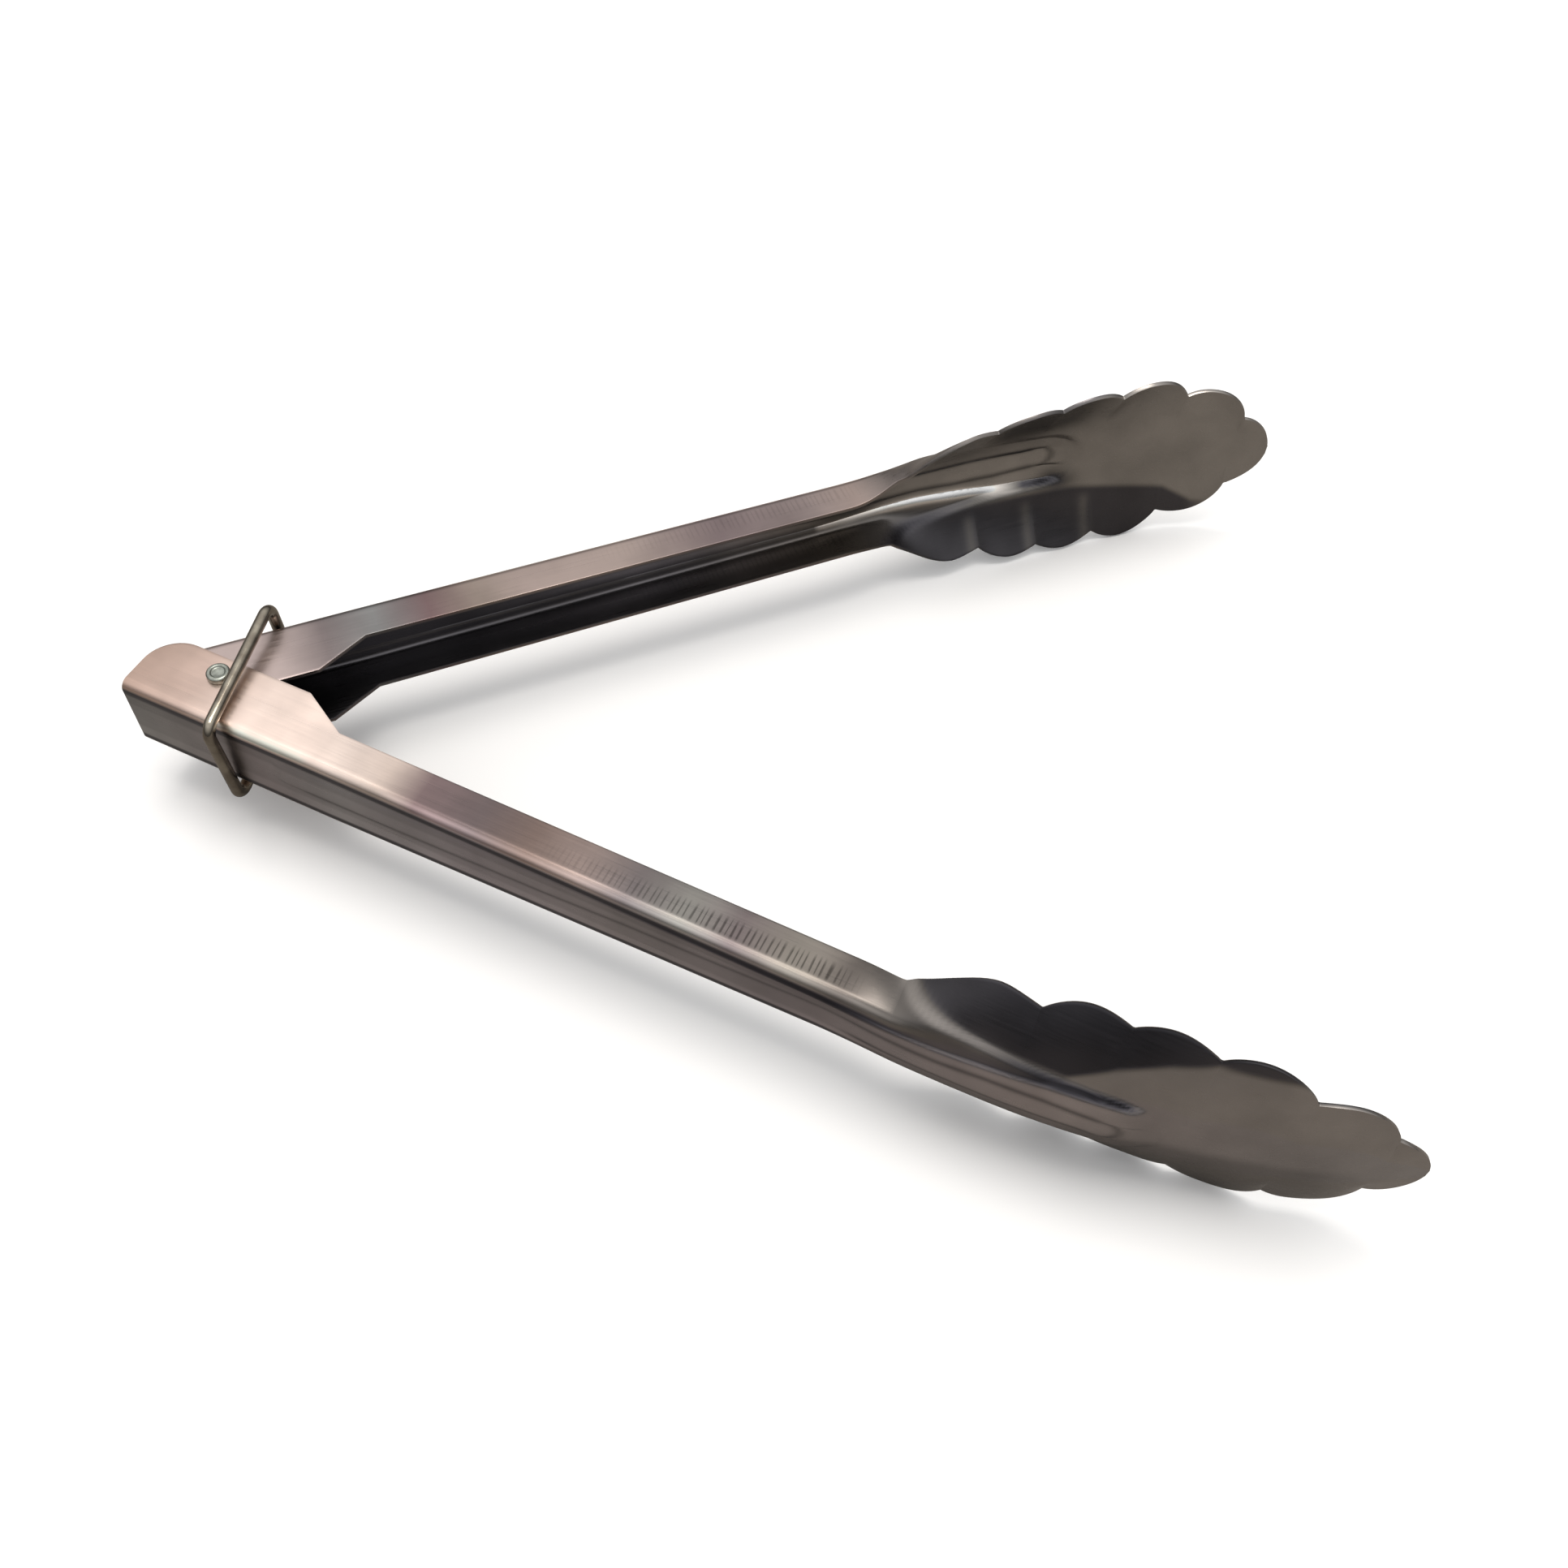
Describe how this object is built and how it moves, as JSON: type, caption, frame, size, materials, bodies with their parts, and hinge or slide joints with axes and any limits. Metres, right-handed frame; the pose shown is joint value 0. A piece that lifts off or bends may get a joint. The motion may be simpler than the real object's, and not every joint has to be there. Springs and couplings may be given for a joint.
{
  "type": "kitchen tongs",
  "caption": "Spring loaded kitchen tongs: two pressed steel channel arms with scalloped spoon heads, hinged on a rivet, with a sliding wire lock ring.",
  "frame": {"origin": "on the rivet's axis, halfway up the arms' width", "axes": "+X between the two arms towards the heads, +Y towards the inner arm, +Z along the rivet towards its head"},
  "size_m": [0.2266, 0.1688, 0.0436],
  "materials": {
    "outer_arm_steel": "satin, faintly brushed along the sheet",
    "inner_arm_steel": "satin, faintly brushed along the sheet",
    "rivet_steel": "plain turned steel, slightly dull",
    "spring_steel": "drawn spring wire",
    "ring_steel": "drawn wire, bright, faintly yellow"
  },
  "bodies": {
    "outer_arm_body": {"outer_arm": "outer_arm_steel", "pivot_rivet": "rivet_steel", "torsion_spring": "spring_steel"},
    "inner_arm_body": {"inner_arm": "inner_arm_steel"},
    "ring_body": {"lock_ring": "ring_steel"}
  },
  "joints": [
    {"name": "arm_hinge", "type": "hinge", "parent": "outer_arm_body", "child": "inner_arm_body", "pos_m": [0, 0, 0], "axis": [0, 0, -1], "range_deg": [0, 43.4], "stiffness_Nm_per_rad": 0.6, "springref_deg": -20.05, "deforming": ["torsion_spring"]},
    {"name": "ring_slide", "type": "slide", "parent": "outer_arm_body", "child": "ring_body", "axis": [0.9157, -0.4019, 0], "range_m": [0, 0.0135]}
  ],
  "couplings": [
    {"joint": "ring_slide", "follows": "arm_hinge", "m_per_rad": 0.0178}
  ]
}
